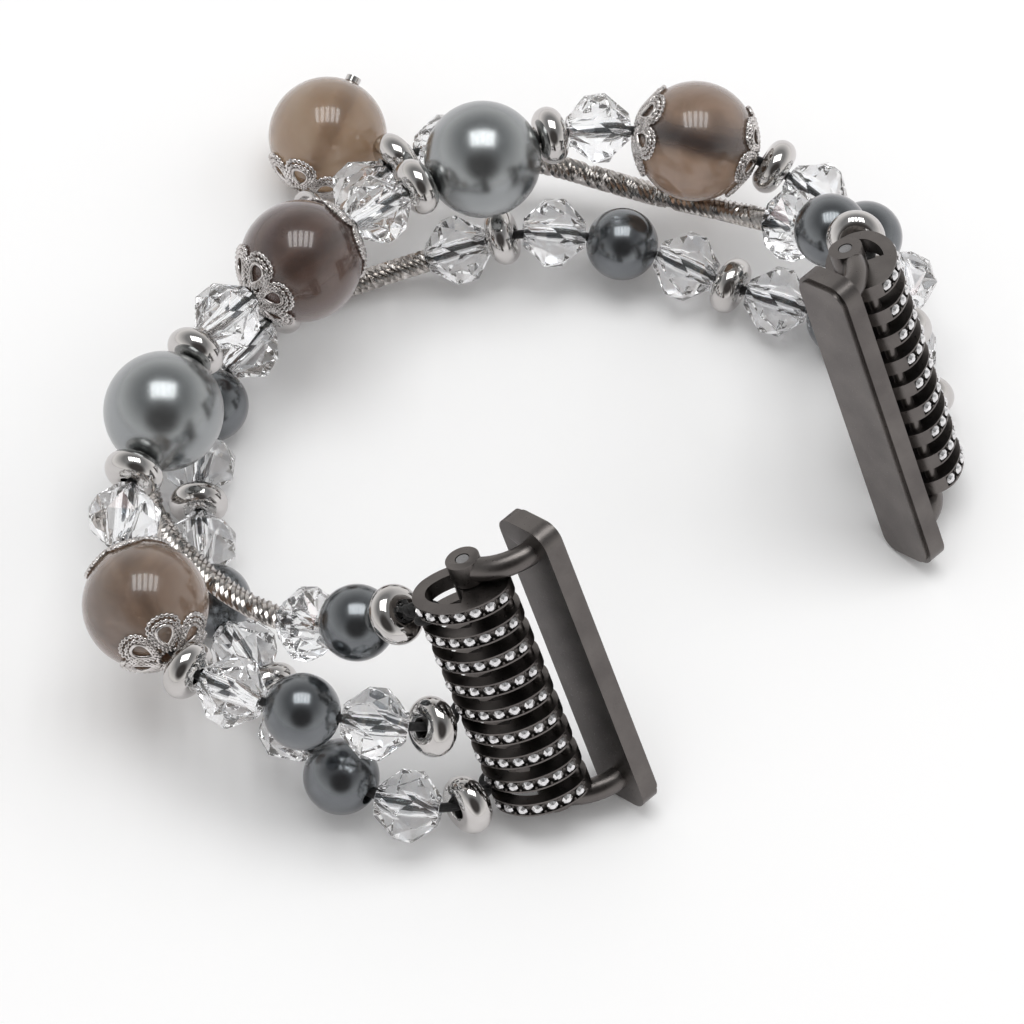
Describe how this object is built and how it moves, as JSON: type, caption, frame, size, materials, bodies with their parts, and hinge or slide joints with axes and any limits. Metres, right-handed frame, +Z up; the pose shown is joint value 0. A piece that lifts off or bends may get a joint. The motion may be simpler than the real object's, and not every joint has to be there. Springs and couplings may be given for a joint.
{
  "type": "beaded stretch band",
  "caption": "Elastic beaded stretch band of three strands with hinged end links, slide-in adapters and a hanging charm.",
  "frame": {"origin": "centre of the band's outline on the surface that it lies on", "axes": "+Z up from that surface, +Y from the adapters to the far side of the loop, +X from the left adapter to the right one"},
  "size_m": [0.0944, 0.085, 0.0341],
  "materials": {
    "black_metal": "satin gunmetal black",
    "steel_pin": "satin",
    "stones": "faceted clear",
    "cord": "matte black elastic",
    "crystal": "faceted clear with a faint rainbow",
    "silver": "mirror bright",
    "filigree": "antique silver",
    "small_pearl": "dark grey pearl",
    "big_pearl": "silver grey pearl",
    "agate": "polished, cloudy grey brown"
  },
  "bodies": {
    "strands": {"a_cord": "cord", "b_cord": "cord", "c_cord": "cord", "a_crystals_1": "crystal", "a_crystals_2": "crystal", "b_crystals_1": "crystal", "b_crystals_2": "crystal", "c_crystals_1": "crystal", "c_crystals_2": "crystal", "a_spacers_1": "silver", "a_spacers_2": "silver", "b_spacers_1": "silver", "b_spacers_2": "silver", "c_spacers_1": "silver", "c_spacers_2": "silver", "b_tube_1": "silver", "b_tube_2": "silver", "c_tube_1": "silver"},
    "left_link": {"left_link": "black_metal", "left_stones": "stones"},
    "left_adapter": {"left_adapter": "black_metal", "left_pin": "steel_pin"},
    "left_latch": {"left_latch": "steel_pin"},
    "right_link": {"right_link": "black_metal", "right_stones": "stones"},
    "right_adapter": {"right_adapter": "black_metal", "right_pin": "steel_pin"},
    "right_latch": {"right_latch": "steel_pin"},
    "a_pearl_1": {"a_pearl_1": "small_pearl"},
    "a_pearl_2": {"a_pearl_2": "small_pearl"},
    "a_big_pearl_1": {"a_big_pearl_1": "big_pearl"},
    "a_big_pearl_2": {"a_big_pearl_2": "big_pearl"},
    "a_agate_1": {"a_agate_1": "agate", "a_cap_1": "filigree", "a_cap_2": "filigree"},
    "a_agate_2": {"a_agate_2": "agate", "a_cap_3": "filigree", "a_cap_4": "filigree"},
    "a_agate_3": {"a_agate_3": "agate", "a_cap_5": "filigree", "a_cap_6": "filigree"},
    "b_pearl_1": {"b_pearl_1": "small_pearl"},
    "b_pearl_2": {"b_pearl_2": "small_pearl"},
    "b_pearl_3": {"b_pearl_3": "small_pearl"},
    "b_disc_1": {"b_disc_1": "crystal"},
    "c_pearl_1": {"c_pearl_1": "small_pearl"},
    "c_pearl_2": {"c_pearl_2": "small_pearl"},
    "c_pearl_3": {"c_pearl_3": "small_pearl"},
    "c_pearl_4": {"c_pearl_4": "small_pearl"},
    "c_disc_1": {"c_disc_1": "crystal"},
    "charm_ring_1": {"charm_ring_1": "silver"},
    "charm_ring_2": {"charm_ring_2": "silver"},
    "charm_pin": {"charm_pin": "silver"},
    "charm_bead": {"charm_agate": "agate", "charm_cap": "filigree"}
  },
  "joints": [
    {"name": "left_link_swing", "type": "hinge", "parent": "strands", "child": "left_link", "pos_m": [-0.02595, -0.02629, 0.01419], "axis": [0, 0.4226, 0.9063], "range_deg": [-15, 35]},
    {"name": "left_adapter_fold", "type": "hinge", "parent": "left_link", "child": "left_adapter", "pos_m": [-0.0217, -0.02896, 0.01544], "axis": [0, 0.4226, 0.9063], "range_deg": [-47, 53]},
    {"name": "left_latch_press", "type": "slide", "parent": "left_adapter", "child": "left_latch", "axis": [0, 0.9063, -0.4226], "range_m": [-0.0008, 0], "stiffness_N_per_m": 300, "springref_m": 0.001},
    {"name": "right_link_swing", "type": "hinge", "parent": "strands", "child": "right_link", "pos_m": [0.03404, -0.02572, 0.01393], "axis": [0, 0.4226, 0.9063], "range_deg": [-45, 40]},
    {"name": "right_adapter_fold", "type": "hinge", "parent": "right_link", "child": "right_adapter", "pos_m": [0.0303, -0.02896, 0.01544], "axis": [0, 0.4226, 0.9063], "range_deg": [-44, 56]},
    {"name": "right_latch_press", "type": "slide", "parent": "right_adapter", "child": "right_latch", "axis": [0, 0.9063, -0.4226], "range_m": [-0.0008, 0], "stiffness_N_per_m": 300, "springref_m": 0.001},
    {"name": "a_pearl_1_spin", "type": "hinge", "parent": "strands", "child": "a_pearl_1", "pos_m": [-0.03844, -0.01732, 0.0152], "axis": [-0.549, 0.8358, 0.0041], "continuous": true},
    {"name": "a_pearl_2_spin", "type": "hinge", "parent": "strands", "child": "a_pearl_2", "pos_m": [0.04343, -0.01377, 0.01063], "axis": [-0.126, -0.9876, 0.0933], "continuous": true},
    {"name": "a_big_pearl_1_spin", "type": "hinge", "parent": "strands", "child": "a_big_pearl_1", "pos_m": [-0.02482, 0.0176, 0.01557], "axis": [0.9123, 0.4072, 0.0425], "continuous": true},
    {"name": "a_big_pearl_2_spin", "type": "hinge", "parent": "strands", "child": "a_big_pearl_2", "pos_m": [0.01933, 0.01781, 0.01594], "axis": [0.9521, -0.3056, -0.0143], "continuous": true},
    {"name": "a_agate_1_spin", "type": "hinge", "parent": "strands", "child": "a_agate_1", "pos_m": [-0.04097, 0.00237, 0.01474], "axis": [0.3534, 0.9354, 0.0115], "continuous": true},
    {"name": "a_agate_2_spin", "type": "hinge", "parent": "strands", "child": "a_agate_2", "pos_m": [-0.00276, 0.02132, 0.01602], "axis": [0.9981, -0.062, -0.0027], "continuous": true},
    {"name": "a_agate_3_spin", "type": "hinge", "parent": "strands", "child": "a_agate_3", "pos_m": [0.03778, 0.00538, 0.01388], "axis": [0.5932, -0.7807, -0.1965], "continuous": true},
    {"name": "b_pearl_1_spin", "type": "hinge", "parent": "strands", "child": "b_pearl_1", "pos_m": [-0.02911, -0.0152, 0.01853], "axis": [-0.3618, 0.7131, -0.6005], "continuous": true},
    {"name": "b_pearl_2_spin", "type": "hinge", "parent": "strands", "child": "b_pearl_2", "pos_m": [0.0274, 0.00546, 0.00569], "axis": [0.543, -0.8241, -0.1613], "continuous": true},
    {"name": "b_pearl_3_spin", "type": "hinge", "parent": "strands", "child": "b_pearl_3", "pos_m": [0.038, -0.01618, 0.0038], "axis": [0.4414, -0.8973, -0.0014], "continuous": true},
    {"name": "b_disc_1_spin", "type": "hinge", "parent": "strands", "child": "b_disc_1", "pos_m": [-0.03127, -0.01044, 0.01522], "axis": [-0.3185, 0.8475, -0.4246], "continuous": true},
    {"name": "c_pearl_1_spin", "type": "hinge", "parent": "strands", "child": "c_pearl_1", "pos_m": [-0.03666, -0.02055, 0.00471], "axis": [-0.0845, 0.9947, -0.0589], "continuous": true},
    {"name": "c_pearl_2_spin", "type": "hinge", "parent": "strands", "child": "c_pearl_2", "pos_m": [-0.03177, 0.00326, 0.00421], "axis": [0.4445, 0.8915, -0.0872], "continuous": true},
    {"name": "c_pearl_3_spin", "type": "hinge", "parent": "strands", "child": "c_pearl_3", "pos_m": [-0.01594, 0.02101, 0.00393], "axis": [0.8578, 0.5101, 0.0627], "continuous": true},
    {"name": "c_pearl_4_spin", "type": "hinge", "parent": "strands", "child": "c_pearl_4", "pos_m": [0.0371, -0.0144, 0.0185], "axis": [0.0326, -0.79, 0.6122], "continuous": true},
    {"name": "c_disc_1_spin", "type": "hinge", "parent": "strands", "child": "c_disc_1", "pos_m": [0.03687, -0.00944, 0.01475], "axis": [0.0409, -0.8072, 0.5888], "continuous": true},
    {"name": "charm_ring_swing", "type": "hinge", "parent": "strands", "child": "charm_ring_1", "pos_m": [0.00719, 0.0262, 0.00858], "axis": [0.9708, 0.2063, 0.1224], "range_deg": [-45, 75]},
    {"name": "charm_link_swing", "type": "hinge", "parent": "charm_ring_1", "child": "charm_ring_2", "pos_m": [0.00682, 0.02946, 0.00603], "axis": [-0.2227, 0.5852, 0.7797], "range_deg": [0, 20]},
    {"name": "charm_pin_swing", "type": "hinge", "parent": "charm_ring_2", "child": "charm_pin", "pos_m": [0.00639, 0.03326, 0.00305], "axis": [-0.4976, 0.499, 0.7095], "range_deg": [-1.4, 155]},
    {"name": "charm_bead_spin", "type": "hinge", "parent": "charm_pin", "child": "charm_bead", "pos_m": [0.01453, 0.03631, 0.00662], "axis": [0.8665, 0.324, 0.3798], "continuous": true}
  ]
}
